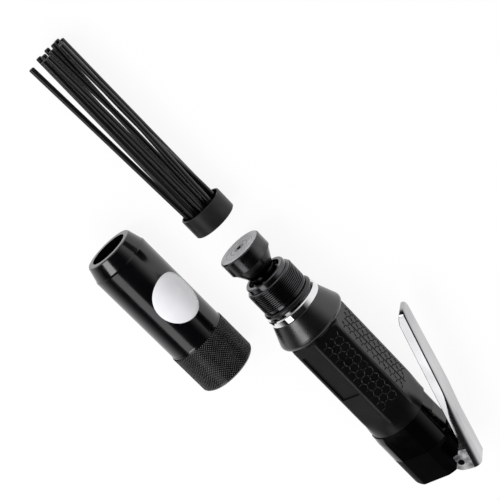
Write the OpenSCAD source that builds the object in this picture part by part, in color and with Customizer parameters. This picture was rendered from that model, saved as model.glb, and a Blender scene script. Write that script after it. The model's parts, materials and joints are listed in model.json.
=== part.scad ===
// Straight air needle scaler, taken apart for a needle change and lying on a bench.
// Three groups: the tool body, the needle set in front of it, and the front tube beside it.
// Millimetres. Origin at the mouth of the air inlet, +X out of the inlet to the rear,
// +Y to the side of the throttle lever, +Z up from the bench.

/* [Barrel and nose] */
// Radius of the nose thread at its root
thread_r = 13.6; // [13.2:0.1:14]
// Length of the nose thread
thread_len = 13.4; // [10:0.2:18]
// Radius of the plain lip in front of the thread
lip_r = 12.4; // [11.6:0.1:13]
// Length of the plain lip
lip_len = 3; // [2:0.5:5]
// Bore that the piston runs in, radius
bore_r = 9; // [8.5:0.1:9.3]
// Outer radius of the barrel inside the handle
barrel_r = 13.4; // [13.2:0.1:14]
// Outer radius of the plated lock ring
lock_ring_r = 15.9; // [15.6:0.1:16.4]
// Width of the plated lock ring
lock_ring_w = 3.6; // [3:0.2:4]

/* [Anvil and piston] */
// Radius of the anvil head
anvil_r = 12.7; // [11.5:0.1:12.8]
// Length of the anvil head
anvil_head_len = 8.4; // [6:0.2:11]
// Length of the cone behind the anvil head
anvil_cone_len = 8.6; // [8:0.2:10]
// Radius of the anvil shank
shank_r = 7.5; // [7:0.1:7.8]
// Travel of the anvil towards the barrel
anvil_travel = 5; // [3:0.5:5]
// Length of the piston
piston_len = 40; // [34:1:42]

/* [Handle] */
// Length of the flared front cap
cap_len = 15.5; // [14:0.5:18]
// Largest radius of the flared front cap
cap_r = 20.3; // [19.8:0.1:21.5]
// Length of the rubber grip
grip_len = 69; // [66:1:76]
// Radius to the corners of the grip's section before they are rounded
grip_corner_r = 19.45; // [19.3:0.05:19.6]
// Radius over the rounded ridges of the grip
grip_r = 19.2; // [19:0.05:19.25]
// Length of the valve housing along the axis
housing_len = 19.6; // [18:0.2:24]
// Length of the rear block along the axis
block_len = 18.7; // [18.5:0.2:22]
// Half width across the flats of housing and block
housing_flat = 17; // [16.8:0.1:18]
// Radius over the rounded corners of housing and block
housing_r = 19.6; // [19:0.1:20.2]
// Slant of the seam and of the rear face, in degrees
rear_slant = 6.5; // [0:0.5:9]

/* [Air inlet] */
// Radius of the quarter inch inlet thread
inlet_r = 5.72; // [5.5:0.01:5.9]
// Depth of the inlet thread
inlet_depth = 9.8; // [9:0.1:9.8]
// Inlet axis below the tool axis, away from the lever
inlet_drop = 5.5; // [5:0.5:6.5]
// Width across flats of the inlet bushing
inlet_hex = 17; // [15:1:17]

/* [Lever and throttle] */
// Width of the lever channel at its pivot end
lever_w = 18; // [17:0.5:19]
// Width of the lever channel at its nose
lever_nose_w = 12; // [10:0.5:14]
// Length from the pivot pin to the nose of the lever
lever_len = 100; // [90:1:108]
// Depth of the lever channel
lever_depth = 5.6; // [5:0.2:6.4]
// Sheet thickness of the lever
lever_sheet = 1.5; // [1.2:0.1:2]
// Distance from the pivot pin to the outer face of the lever
lever_rise = 9.5; // [9.2:0.1:10.4]
// Angle between the released lever and the tool axis
lever_rest = 15.2; // [13:0.2:17]
// Angle the lever turns through when it is pressed
lever_swing = 10; // [6:0.5:10]
// Radius of the lever pin
pin_r = 1.8; // [1.5:0.1:2.2]
// Radius of the throttle stem
stem_r = 2; // [1.6:0.1:2.2]

/* [Needles] */
// Number of needles in the outer ring of the holder
outer_needles = 9; // [7:1:9]
// Number of needles in the inner ring of the holder
inner_needles = 3; // [2:1:3]
// Radius of a needle
needle_r = 1.5; // [1:0.1:1.6]
// Length of a needle over its head
needle_len = 120; // [100:1:180]
// Radius of the needle holder
holder_r = 12.5; // [12.2:0.1:12.7]
// Length of the needle holder
holder_len = 11.7; // [11:0.1:16]
// Travel of one needle towards the anvil
needle_travel = 10; // [4:1:12]

/* [Front tube] */
// Outer radius of the front tube
tube_r = 17; // [16.5:0.1:17.4]
// Length of the front tube
tube_len = 94; // [80:1:130]
// Radius over the knurled band
knurl_r = 17.2; // [17.1:0.1:18]
// Length of the knurled band
knurl_len = 27; // [20:1:34]
// Radius of the front opening that the needles pass
opening_r = 11; // [10.7:0.1:11.6]

/* [Bench layout] */
// Gap along the axis between the anvil face and the needle holder
set_gap = 16.3; // [14:0.1:40]
// Sideways offset of the needle set from the tool axis
set_side = 3.6; // [0:0.1:10]
// Distance of the tube's front face in front of the anvil face
tube_ahead = 39.4; // [0:0.1:120]
// Sideways distance from the tool axis to the tube axis
tube_side = 59.2; // [45:0.1:120]

/* [Hidden] */
$fn = 96;
// Overrun of every cut past the face that it opens
cut = 1;
// Radial clearance of a running fit
run = 0.05;
// Clearance between fixed pieces that seat in each other
seat = 0.04;
// Clearance between loose moving pieces
loose = 0.3;
// Small edge break on turned pieces
edge = 0.5;
// Facets used for a curve in a turned outline
curve_steps = 6;

// Stations along the tool axis, counted back from the inlet mouth at zero
inlet_flange = 5.2;
spot_r = 10.4;
x_spot = -inlet_flange;
// The slanted rear face meets the spot face at the lowest point of the bushing
x_rear = x_spot + (inlet_drop + spot_r) * tan(rear_slant);
x_seam = x_rear - block_len;
x_grip_rear = x_seam - housing_len;
x_grip_front = x_grip_rear - grip_len;
x_cap_front = x_grip_front - cap_len;
x_ring_front = x_cap_front - lock_ring_w;

// Nose: seal groove between the thread and the lock ring
seal_wire = 1.4;
seal_gap = 1;
undercut_len = 1;
thread_depth = 0.6;
thread_play = 0.1;
undercut_r = lip_r;
seal_centre_r = undercut_r + seal_wire + seat;
x_seal = x_ring_front - seal_gap - seal_wire;
x_thread_rear = x_seal - seal_wire - undercut_len / 2;
x_thread_front = x_thread_rear - thread_len;
x_lip = x_thread_front - lip_len;

// Anvil, with its face in front of the barrel by the exposed shank
shank_gap = 2;
x_cone_rear = x_lip - shank_gap;
x_head_rear = x_cone_rear - anvil_cone_len;
x_face = x_head_rear - anvil_head_len;
shank_in = 27;
x_shank_rear = x_lip + shank_in;
clip_w = 1.4;
clip_land = 1.6;
clip_depth = 1;
clip_r = bore_r - loose;
clip_gap_share = 0.16;
centre_mark_r = 1.6;
centre_mark_depth = 0.8;

// Anvil bush and its seal in the nose counterbore
nose_bore_r = 10.2;
recess_depth = 4.6;
x_bush_front = x_lip + recess_depth;
x_bush_rear = x_shank_rear - clip_land - clip_w - loose;
anvil_seal_wire = 1.15;

// Handle: cap seat, barrel collar and handle tube
cap_lip_len = 3.5;
collar_len = 3;
collar_r = 15.4;
tube_wall = 2;
handle_r = 15.5;
x_collar = x_cap_front + cap_lip_len;
x_handle_front = x_collar + collar_len + seat;
socket_depth = 6;
x_socket = x_grip_rear + socket_depth;

// Distributor valve between the barrel and the valve housing
valve_seat_len = 9;
valve_case_len = 8;
x_valve_seat = x_socket - valve_seat_len;
x_valve_case = x_valve_seat - valve_case_len;
disc_r = 7.6;
disc_t = 1.4;
disc_play = 0.6;
port_r = 1.5;
port_circle = 5.5;
plenum_r = 8.5;
plenum_depth = 2;
port_count = 6;
centre_port_r = 3;
dowel_r = 1.5;
dowel_len = 10;
dowel_side = 11.2;
exhaust_r = 2;
exhaust_count = 4;
x_exhaust = (x_bush_rear + x_valve_case) / 2;

// Piston at the rear end of its bore
piston_back_gap = 2.8;
x_piston_rear = x_valve_case - piston_back_gap;
// The piston stops just short of an anvil that is pushed right in
piston_travel = x_piston_rear - piston_len - (x_shank_rear + anvil_travel) - loose;
piston_nose_r = 7;
piston_nose_len = 6;
groove_w = 1.2;
groove_depth = 0.6;
groove_count = 3;
groove_pitch = 9;

// Rear block: lug for the lever, pocket for its ears, throttle bore
pin_back = 2.5;
pin_side = 11.4;
x_pin = x_rear + pin_back;
ear_r = 5.5;
ear_clear_r = 6.6;
ear_clear = 0.8;
lug_r = 5;
ear_gap = 0.4;
lug_half = lever_w / 2 - lever_sheet - ear_gap;
lug_top = 16.5;
pocket_back = 3.6;
pocket_side = 9.8;
pocket_round = 3;
x_pocket = x_seam + pocket_back;
stem_ahead = 15.6;
x_stem = x_pin - stem_ahead;
chamber_r = 3.75;
chamber_top = 2;
gallery_r = 2.5;
gallery_side = 5;
bush_r = 3;
bush_low = 8;
plug_r = 4.4;
plug_len = 7;
plug_socket = 4;
plug_socket_depth = 3;
plug_top = -housing_flat + plug_len;
duct_r = 2.5;
lever_side_front = 17.7;
lever_side_rear = 16;
lever_round_r = 17.8;

// Throttle stem with its dome, head and seal
head_r = 3.45;
head_t = 2.4;
stem_seal_wire = 0.5;
stem_seal_r = 2.9;
head_top = chamber_top - 2 * stem_seal_wire - run;
head_low = head_top - head_t;
spigot_r = 1.6;
spigot_len = 2;
dome_r = stem_r;
// Height of the dome's centre at which it clears the inner face of the released lever
dome_rise = lever_rise - lever_sheet - dome_r - loose;
lever_in = lever_rest - lever_swing;
dome_side = pin_side + (dome_rise + stem_ahead * sin(lever_rest)) / cos(lever_rest);
dome_side_pressed = pin_side + (dome_rise + stem_ahead * sin(lever_in)) / cos(lever_in);
stem_stroke = dome_side - dome_side_pressed;

// Throttle spring, one unbroken wire
spring_wire = 0.35;
spring_r = 2.6;
spring_turns = 4;
spring_rings = 8;
spring_sides = 6;
spring_end_share = 0.15;
spring_flat_share = 0.7;

// Screws that hold the rear block to the valve housing
screw_r = 1.5;
screw_head_r = 2.8;
screw_head_t = 3;
screw_len = 24;
screw_side = 0;
screw_up = 12.8;
screw_key = 2.5;
screw_key_depth = 2;
screw_sink = 4;

// Inlet bushing and screen
bushing_r = 7.5;
bushing_floor = 1.6;
screen_r = 4.6;
screen_sink = 1;
bushing_duct_r = 3.4;
screen_t = 0.8;
screen_hole_r = 0.7;
screen_circle = 2.6;
screen_holes = 6;

// Grip moulding
grip_end_r = 18.6;
grip_front_r = 17.9;
grip_collar = 4;
grip_blend = 5;
grip_runout = 8;
// Angles of the grip's ridges on one side of the lever plane, counted from the lever, in degrees
grip_ridges = [32.5, 81, 128];
ridge_count = len(grip_ridges);
back_ridge = 180;
grip_ring = concat(grip_ridges, [back_ridge], [for (k = [1:ridge_count]) -grip_ridges[ridge_count - k]]);
lever_panel = grip_corner_r * cos(grip_ridges[0]);
plate_turn = (grip_ridges[1] + grip_ridges[2]) / 2;
plate_panel = grip_corner_r * cos((grip_ridges[2] - grip_ridges[1]) / 2);
plate_len = 33;
plate_w = 12;
plate_depth = 0.8;
plate_back = 5.5;
cap_front_r = 16;
cap_shoulder_back = 3.4;
cap_round = 2.6;

// Needle set: recessed holder, counterbored for the needle heads
cup_depth = 3;
cup_wall = 0.9;
head_len = 2.6;
needle_head_r = 2.3;
head_play = 0.3;
hole_play = 0.25;
outer_ring_r = 8.6;
inner_ring_r = 3.3;
needle_count = outer_needles + inner_needles;
x_holder_rear = x_face - set_gap;
x_holder_front = x_holder_rear - holder_len;
counterbore = head_len + head_play;
x_web_rear = x_holder_rear - counterbore;
x_web_front = x_holder_front + cup_depth;
x_web_mid = (x_web_front + x_web_rear) / 2;
tip_break = 0.4;
// Angle of the first needle in each ring, and the outward lean of each needle in its hole, in degrees
needle_first = 106;
needle_first_inner = 29;
needle_lean = [-0.3, 2.05, -0.3, 0, 0, -0.1, -0.8, 0.5, 0.2, 0, 0.35, 0.1];

// Front tube
x_tube_front = x_face - tube_ahead;
nose_taper_len = 8.3;
nose_face_r = 14.5;
opening_len = 6;
holder_play = 0.4;
socket_spare = 1;
tube_bore_r = holder_r + holder_play;
socket_r = thread_r + thread_depth + thread_play;
tube_socket_len = thread_len + lip_len + socket_spare;
knurl_edge = 1;

// The bench touches the widest turned piece of the tool
z_bench = -cap_r;
z_tube = z_bench + knurl_r;
z_set = z_bench + holder_r;
tool_y = inlet_drop;

function two_digits(n) = str(n < 10 ? "0" : "", n);
function needle_name(i) = str("needle_", two_digits(i + 1));

// Points of an arc in a turned outline: centre radius and station, arc radius, angles
function arc(r, x, rad, a0, a1) =
    [for (k = [0:curve_steps]) let (a = a0 + (a1 - a0) * k / curve_steps) [r + rad * cos(a), x + rad * sin(a)]];

// A turned piece about the X axis, from points of radius and station
module turned(points) { rotate([0, 90, 0]) rotate_extrude() polygon(points); }

// A round ring of wire about the X axis
module wire_ring(x, centre_r, wire_r) {
    translate([x, 0, 0]) rotate([0, 90, 0]) rotate_extrude() translate([centre_r, 0]) circle(wire_r);
}

// A plain cylinder along X between two stations
module bar(x0, x1, r) { translate([x0, 0, 0]) rotate([0, 90, 0]) cylinder(r = r, h = x1 - x0); }

// A plain cylinder along Y between two heights
module post(y0, y1, r) { translate([0, y0, 0]) rotate([-90, 0, 0]) cylinder(r = r, h = y1 - y0); }

// Everything on the tool body is drawn about the tool axis and set beside the inlet axis
module on_tool() { translate([0, tool_y, 0]) children(); }
module on_inlet() { children(); }
module at_stem() { on_tool() translate([x_stem, 0, 0]) children(); }
module at_set() { translate([0, tool_y - set_side, z_set]) children(); }
module at_tube() { translate([0, tool_y - tube_side, z_tube]) children(); }

// The half space behind a slanted plane through the tool axis at station x
module behind_slant(x) {
    reach = 4 * cap_r;
    translate([x, 0, 0]) rotate([0, 0, -rear_slant]) translate([0, -reach / 2, -reach / 2]) cube(reach);
}

// Rounded square section of housing and block, between two stations
module square_bar(x0, x1) {
    intersection() {
        bar(x0, x1, housing_r);
        translate([x0, -housing_flat, -housing_flat])
            cube([x1 - x0, 2 * housing_flat, 2 * housing_flat]);
        union() {
            bar(x0, x1, lever_round_r);
            translate([x0, -2 * housing_r, -2 * housing_r]) cube([x1 - x0, 2 * housing_r, 4 * housing_r]);
        }
    }
}

module barrel() {
    color("dimgray") on_tool() difference() {
        turned([
            [0, x_lip], [lip_r - edge, x_lip], [lip_r, x_lip + edge], [lip_r, x_thread_front],
            [thread_r - edge, x_thread_front], [thread_r, x_thread_front + edge],
            [thread_r, x_thread_rear], [undercut_r, x_thread_rear],
            [undercut_r, x_seal + seal_wire], [barrel_r, x_seal + seal_wire],
            [barrel_r, x_collar], [collar_r, x_collar],
            [collar_r, x_collar + collar_len], [barrel_r, x_collar + collar_len],
            [barrel_r, x_valve_case], [0, x_valve_case]]);
        bar(x_lip - cut, x_bush_rear, nose_bore_r);
        bar(x_lip, x_valve_case + cut, bore_r);
        translate([x_exhaust, 0, 0]) for (k = [0:exhaust_count - 1])
            rotate([360 * (k + 0.5) / exhaust_count, 0, 0]) post(0, barrel_r + cut, exhaust_r);
        translate([0, -dowel_side, 0]) bar(x_valve_case - dowel_len / 5, x_valve_case + cut, dowel_r + seat);
    }
}

module anvil_bush() {
    color("goldenrod") on_tool() difference() {
        bar(x_bush_front, x_bush_rear - seat, nose_bore_r - seat);
        bar(x_bush_front - cut, x_bush_rear + cut, shank_r + run);
    }
}

module anvil_seal() {
    color("black") on_tool()
        wire_ring(x_bush_front - anvil_seal_wire - seat, nose_bore_r - anvil_seal_wire - seat, anvil_seal_wire);
}

module anvil() {
    color("silver") on_tool() turned([
        [0, x_face + centre_mark_depth], [centre_mark_r, x_face], [anvil_r - edge, x_face],
        [anvil_r, x_face + edge], [anvil_r, x_head_rear], [anvil_r - edge, x_head_rear],
        [shank_r, x_cone_rear], [shank_r, x_shank_rear - clip_land - clip_w],
        [shank_r - clip_depth, x_shank_rear - clip_land - clip_w],
        [shank_r - clip_depth, x_shank_rear - clip_land], [shank_r, x_shank_rear - clip_land],
        [shank_r, x_shank_rear - edge], [shank_r - edge, x_shank_rear], [0, x_shank_rear]]);
}

module anvil_clip() {
    gap_w = clip_r * clip_gap_share * 2;
    x_clip = x_shank_rear - clip_land - clip_w;
    color("gray") on_tool() difference() {
        bar(x_clip + seat, x_clip + clip_w - seat, clip_r);
        bar(x_clip - cut, x_clip + clip_w + cut, shank_r - clip_depth + seat);
        translate([x_clip - cut, 0, -gap_w / 2]) cube([clip_w + 2 * cut, clip_r + cut, gap_w]);
    }
}

module nose_seal() {
    color("black") on_tool() wire_ring(x_seal, seal_centre_r, seal_wire);
}

module lock_ring() {
    color("whitesmoke") on_tool() turned([
        [barrel_r + seat, x_ring_front], [lock_ring_r - edge, x_ring_front],
        [lock_ring_r, x_ring_front + edge],
        [lock_ring_r, x_cap_front - seat], [barrel_r + seat, x_cap_front - seat]]);
}

module front_cap() {
    x_shoulder = x_grip_front - cap_shoulder_back;
    color([0.2, 0.2, 0.2]) on_tool() turned(concat(
        [[barrel_r + seat, x_cap_front], [cap_front_r - edge, x_cap_front],
         [cap_front_r, x_cap_front + edge]],
        arc(cap_r - cap_round, x_shoulder, cap_round, -20, 60),
        [[grip_front_r, x_grip_front - seat], [handle_r + seat, x_grip_front - seat],
         [handle_r + seat, x_collar], [barrel_r + seat, x_collar]]));
}

module handle_tube() {
    color("darkgray") on_tool() difference() {
        bar(x_handle_front, x_socket - seat, handle_r);
        bar(x_handle_front - cut, x_socket + cut, handle_r - tube_wall + seat);
    }
}

// Seven-sided grip: flat panels between rounded ridges, running out into a round rear end
module grip_sleeve() {
    x_collar_front = x_grip_rear - grip_collar;
    x_runout = x_collar_front - grip_runout;
    color([0.15, 0.15, 0.15]) on_tool() difference() {
        union() {
            intersection() {
                turned([[0, x_grip_front], [grip_front_r, x_grip_front], [grip_r, x_grip_front + grip_blend],
                    [grip_r, x_collar_front - grip_blend], [grip_end_r - edge, x_collar_front],
                    [0, x_collar_front]]);
                translate([x_grip_front - cut, 0, 0]) rotate([90, 0, 90]) linear_extrude(grip_len)
                    polygon([for (a = grip_ring) grip_corner_r * [cos(a), sin(a)]]);
            }
            turned([[0, x_runout], [lever_panel - edge, x_runout], [grip_end_r, x_collar_front],
                [grip_end_r, x_grip_rear - edge], [grip_end_r - edge, x_grip_rear], [0, x_grip_rear]]);
        }
        bar(x_grip_front - cut, x_grip_rear + cut, handle_r + seat);
        for (side = [-1, 1]) rotate([side * plate_turn, 0, 0])
            translate([x_grip_front + plate_back, plate_panel - plate_depth, -plate_w / 2])
                cube([plate_len, grip_r, plate_w]);
    }
}

module valve_case() {
    x_recess = x_valve_seat - disc_t - disc_play - 2 * run;
    color("slategray") on_tool() difference() {
        bar(x_valve_case + seat, x_valve_seat - seat, barrel_r);
        bar(x_valve_case - cut, x_valve_seat + cut, centre_port_r);
        bar(x_recess, x_valve_seat + cut, disc_r + loose);
        translate([0, -dowel_side, 0]) bar(x_valve_case - cut, x_valve_seat + cut, dowel_r + seat);
    }
}

module valve_disc() {
    color("silver") on_tool() difference() {
        bar(x_valve_seat - disc_t - run, x_valve_seat - run, disc_r);
        bar(x_valve_seat - disc_t - cut, x_valve_seat + cut, centre_port_r / 2);
    }
}

module valve_seat() {
    color("slategray") on_tool() difference() {
        bar(x_valve_seat, x_socket - seat, barrel_r);
        bar(x_valve_seat - cut, x_socket + cut, centre_port_r / 2);
        bar(x_socket - plenum_depth, x_socket + cut, plenum_r);
        for (k = [0:port_count - 1]) rotate([360 * k / port_count, 0, 0])
            translate([0, port_circle, 0]) bar(x_valve_seat - cut, x_socket + cut, port_r);
        translate([0, -dowel_side, 0]) bar(x_valve_seat - cut, x_valve_seat + dowel_len / 5, dowel_r + seat);
    }
}

module valve_dowel() {
    color("gray") on_tool() translate([0, -dowel_side, 0])
        bar(x_valve_case - dowel_len / 5 + seat, x_valve_seat + dowel_len / 5 - seat, dowel_r);
}

// Glossy housing behind the grip: round at the grip, square with rounded corners behind
module valve_housing() {
    reach = 2 * cap_r;
    color([0.08, 0.08, 0.09]) on_tool() difference() {
        intersection() {
            square_bar(x_grip_rear + seat, x_seam + reach / 4);
            turned([[0, x_grip_rear], [grip_end_r + edge, x_grip_rear],
                [housing_r, x_grip_rear + grip_blend],
                [housing_r, x_seam + reach / 4], [0, x_seam + reach / 4]]);
        }
        behind_slant(x_seam - seat);
        bar(x_grip_rear - cut, x_socket, handle_r + seat);
        lever_side_cut();
        translate([0, gallery_side, 0]) bar(x_socket - cut, x_seam + cut, duct_r);
        screw_shanks(screw_r + seat);
    }
}

// Slope on the lever side that gives the pressed lever room
module lever_side_cut() {
    run_x = x_seam - x_grip_rear;
    slope = atan((lever_side_front - lever_side_rear) / run_x);
    translate([x_grip_rear, lever_side_front, 0]) rotate([0, 0, -slope])
        translate([-run_x, 0, -cap_r]) cube([4 * run_x, cap_r, 2 * cap_r]);
}

module screw_shanks(r) {
    x_head = x_rear - screw_sink;
    for (side = [-1, 1]) translate([0, screw_side, side * screw_up])
        bar(x_head - screw_len, x_head + cut, r);
}

module rear_block() {
    x_head = x_rear - screw_sink;
    reach = 2 * cap_r;
    color([0.2, 0.2, 0.2]) on_tool() difference() {
        union() {
            difference() {
                square_bar(x_seam - reach / 4, x_rear + reach / 4);
                behind_slant(x_rear);
                lever_side_cut();
                for (side = [-1, 1]) scale([1, 1, side]) translate([0, 0, lug_half]) {
                    ear_pocket();
                    translate([x_pin, pin_side, 0])
                        cylinder(r = ear_clear_r, h = lever_w / 2 + ear_clear - lug_half);
                }
            }
            lug();
        }
        difference() {
            translate([x_seam - reach, -reach, -reach]) cube(2 * reach);
            behind_slant(x_seam);
        }
        throttle_bores();
        translate([0, -inlet_drop, 0]) {
            bar(x_spot, x_rear + reach, spot_r);
            bar(x_stem, x_rear, bushing_duct_r);
            bar(-inlet_depth - bushing_floor, x_rear, bushing_r + seat);
        }
        screw_shanks(screw_r + seat);
        for (side = [-1, 1]) translate([0, screw_side, side * screw_up])
            bar(x_head, x_rear + reach, screw_head_r + loose);
        translate([x_pin, pin_side, -lever_w]) cylinder(r = pin_r + seat / 2, h = 2 * lever_w);
    }
}

// Pocket beside the lug, with the round corner of its cutter
module ear_pocket() {
    reach = 2 * cap_r;
    linear_extrude(reach) {
        translate([x_pocket + pocket_round, pocket_side + pocket_round]) circle(pocket_round);
        translate([x_pocket + pocket_round, pocket_side]) square([reach, reach]);
        translate([x_pocket, pocket_side + pocket_round]) square([reach, reach]);
    }
}

// Lug between the lever ears, round about the pin
module lug() {
    translate([0, 0, -lug_half]) linear_extrude(2 * lug_half) {
        translate([x_pin, pin_side]) circle(lug_r);
        translate([x_seam, 0]) square([x_pin - lug_r - x_seam, lug_top]);
        polygon([[x_pin - lug_r - edge, pin_side - lug_r], [x_pin, pin_side - lug_r],
            [x_pin + lug_r, pin_side],
            [x_pin, pin_side + lug_r], [x_pin - lug_r - edge, pin_side + lug_r]]);
    }
}

// Stepped bore of the throttle valve, from the plug up through the lug
module throttle_bores() {
    translate([x_stem, 0, 0]) {
        post(-housing_flat - cut, plug_top, plug_r + seat);
        post(plug_top - cut, chamber_top, chamber_r);
        post(0, bush_low + cut, gallery_r);
        post(bush_low, lug_top + cut, bush_r + seat);
    }
    translate([0, gallery_side, 0]) bar(x_seam - cap_r, x_stem, duct_r);
}

module block_screws() {
    x_head = x_rear - screw_sink;
    color("black") on_tool() for (side = [-1, 1]) translate([0, screw_side, side * screw_up]) difference() {
        union() {
            bar(x_head - screw_len + seat, x_head + edge, screw_r);
            bar(x_head + seat, x_head + screw_head_t, screw_head_r);
        }
        translate([x_head + screw_head_t - screw_key_depth, 0, 0]) rotate([0, 90, 0])
            cylinder(r = screw_key / 2 / cos(30), h = screw_key_depth + cut, $fn = 6);
    }
}

module inlet_bushing() {
    color("silver") on_inlet() difference() {
        union() {
            translate([x_spot + seat, 0, 0]) rotate([0, 90, 0])
                cylinder(r = inlet_hex / 2 / cos(30), h = inlet_flange - seat, $fn = 6);
            bar(-inlet_depth - bushing_floor + seat, x_spot + edge, bushing_r);
        }
        bar(-inlet_depth, cut, inlet_r);
        bar(-inlet_depth - screen_sink, -inlet_depth + cut, screen_r + seat);
        bar(-inlet_depth - bushing_floor - cut, -inlet_depth + cut, bushing_duct_r);
    }
}

module inlet_screen() {
    x_screen = -inlet_depth - screen_sink + seat;
    color("gainsboro") on_inlet() difference() {
        bar(x_screen, x_screen + screen_t, screen_r);
        bar(x_screen - cut, x_screen + screen_t + cut, screen_hole_r);
        for (k = [0:screen_holes - 1]) rotate([360 * k / screen_holes, 0, 0])
            translate([0, screen_circle, 0]) bar(x_screen - cut, x_screen + screen_t + cut, screen_hole_r);
    }
}

module throttle_bush() {
    color("goldenrod") at_stem() difference() {
        post(bush_low + seat, lug_top, bush_r);
        post(bush_low - cut, lug_top + cut, stem_r + run);
    }
}

module throttle_plug() {
    color("gray") at_stem() difference() {
        post(-housing_flat + edge, plug_top - seat, plug_r);
        translate([0, -housing_flat + edge, 0]) rotate([-90, 0, 0]) translate([0, 0, -cut])
            cylinder(r = plug_socket / 2 / cos(30), h = plug_socket_depth + cut, $fn = 6);
        plug_groove(plug_r + cut);
    }
}

// Groove round the plug, open outwards to the given radius
module plug_groove(outer) {
    mid = plug_top - plug_len / 3;
    difference() {
        post(mid - stem_seal_wire - seat, mid + stem_seal_wire + seat, outer);
        post(mid - cut, mid + cut, plug_r - 2 * stem_seal_wire);
    }
}

module plug_seal() {
    mid = plug_top - plug_len / 3;
    color("black") at_stem() translate([0, mid, 0]) rotate([-90, 0, 0]) rotate_extrude()
        translate([plug_r - stem_seal_wire, 0]) circle(stem_seal_wire - seat);
}

module throttle_stem() {
    color("silver") at_stem() rotate([-90, 0, 0]) rotate_extrude() polygon(concat(
        [[0, head_low - spigot_len], [spigot_r, head_low - spigot_len], [spigot_r, head_low],
         [head_r, head_low],
         [head_r, head_top], [stem_r, head_top]],
        [for (k = [0:2 * curve_steps]) let (a = 90 * k / (2 * curve_steps))
            [dome_r * cos(a), dome_side + dome_r * sin(a)]]));
}

module throttle_seal() {
    color("black") at_stem() translate([0, head_top + stem_seal_wire, 0]) rotate([-90, 0, 0])
        rotate_extrude() translate([stem_seal_r, 0]) circle(stem_seal_wire - seat);
}

// Centre line of the throttle spring, a helix along Y with flat end turns
spring_low = plug_top + spring_wire + run;
spring_high = head_low - spring_wire - run;
spring_steps = spring_turns * spring_rings;
spring_end_rise = spring_end_share * spring_flat_share;
spring_mid_slope = (1 - 2 * spring_end_rise) / (1 - 2 * spring_end_share);
function spring_rise(t) = t < spring_end_share ? t * spring_flat_share
    : t > 1 - spring_end_share ? 1 - (1 - t) * spring_flat_share
    : spring_end_rise + (t - spring_end_share) * spring_mid_slope;
function spring_point(k) = let (t = k / spring_steps, a = 360 * spring_turns * t)
    [spring_r * cos(a), spring_low + (spring_high - spring_low) * spring_rise(t), spring_r * sin(a)];
function spring_out(k) = let (a = 360 * spring_turns * k / spring_steps) [cos(a), 0, sin(a)];
spring_points = [for (k = [0:spring_steps], j = [0:spring_sides - 1]) let (b = 360 * j / spring_sides)
    spring_point(k) + spring_wire * (cos(b) * spring_out(k) + sin(b) * [0, 1, 0])];
spring_faces = concat(
    [[for (j = [0:spring_sides - 1]) j]],
    [[for (j = [spring_sides - 1:-1:0]) spring_steps * spring_sides + j]],
    [for (k = [0:spring_steps - 1], j = [0:spring_sides - 1]) let (n = (j + 1) % spring_sides)
        [k * spring_sides + j, (k + 1) * spring_sides + j, (k + 1) * spring_sides + n]],
    [for (k = [0:spring_steps - 1], j = [0:spring_sides - 1]) let (n = (j + 1) % spring_sides)
        [k * spring_sides + j, (k + 1) * spring_sides + n, k * spring_sides + n]]);
spring_gap = min([for (k = [0:spring_steps - spring_rings])
    norm(spring_point(k + spring_rings) - spring_point(k)) - 2 * spring_wire]);
echo(spring_gap = spring_gap);

module throttle_spring() { color("silver") at_stem() polyhedron(spring_points, spring_faces); }

module lever_pin() {
    recess = lever_sheet / 5;
    color("gray") on_tool() translate([x_pin, pin_side, -lever_w / 2 + recess])
        cylinder(r = pin_r, h = lever_w - 2 * recess);
}

// Lever channel seen from outside: parallel at the ears, then tapered to a round nose
x_nose = -lever_len + lever_nose_w / 2;
x_taper = -3 * ear_r;
module lever_plan(inset, overrun) {
    nose = lever_nose_w / 2 - inset;
    rear = lever_w / 2 - inset;
    x_end = ear_r + overrun;
    translate([x_nose, 0]) circle(nose);
    polygon([[x_nose, -nose], [x_taper, -rear], [x_end, -rear], [x_end, rear], [x_taper, rear],
        [x_nose, nose]]);
}

// Lever seen from its side: the channel with its ears, round about the pin
module lever_side() {
    blend = 2.5 * ear_r;
    front = lever_len + cut;
    circle(ear_r);
    polygon([[ear_r, 0], [ear_r, lever_rise + cut], [-front, lever_rise + cut],
        [-front, lever_rise - lever_depth], [-blend, lever_rise - lever_depth], [-ear_r, 0]]);
}

module lever() {
    tall = lever_rise + ear_r + cut;
    color("whitesmoke") on_tool() translate([x_pin, pin_side, 0]) rotate([0, 0, -lever_rest]) difference() {
        intersection() {
            translate([0, lever_rise, 0]) rotate([90, 0, 0]) linear_extrude(tall) lever_plan(0, cut);
            translate([0, 0, -lever_w]) linear_extrude(2 * lever_w) lever_side();
        }
        translate([0, lever_rise - lever_sheet, 0]) rotate([90, 0, 0]) linear_extrude(tall)
            lever_plan(lever_sheet, 2 * cut);
        translate([0, 0, -lever_w]) cylinder(r = pin_r + run, h = 2 * lever_w);
    }
}

module piston() {
    color("silver") on_tool() difference() {
        turned([
            [0, x_piston_rear - piston_len], [piston_nose_r - edge, x_piston_rear - piston_len],
            [piston_nose_r, x_piston_rear - piston_len + edge],
            [piston_nose_r, x_piston_rear - piston_len + piston_nose_len],
            [bore_r - run, x_piston_rear - piston_len + piston_nose_len + edge],
            [bore_r - run, x_piston_rear - edge], [bore_r - edge, x_piston_rear], [0, x_piston_rear]]);
        for (k = [1:groove_count]) difference() {
            bar(x_piston_rear - k * groove_pitch, x_piston_rear - k * groove_pitch + groove_w, bore_r + cut);
            bar(x_piston_rear - k * groove_pitch - cut, x_piston_rear - k * groove_pitch + groove_w + cut,
                bore_r - groove_depth);
        }
    }
}

// Place of needle i in the holder: radius and angle of its hole
function needle_ring(i) = i < outer_needles ? outer_ring_r : inner_ring_r;
function needle_turn(i) = i < outer_needles ? needle_first + 360 * i / outer_needles
    : needle_first_inner + 360 * (i - outer_needles) / inner_needles;

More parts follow.
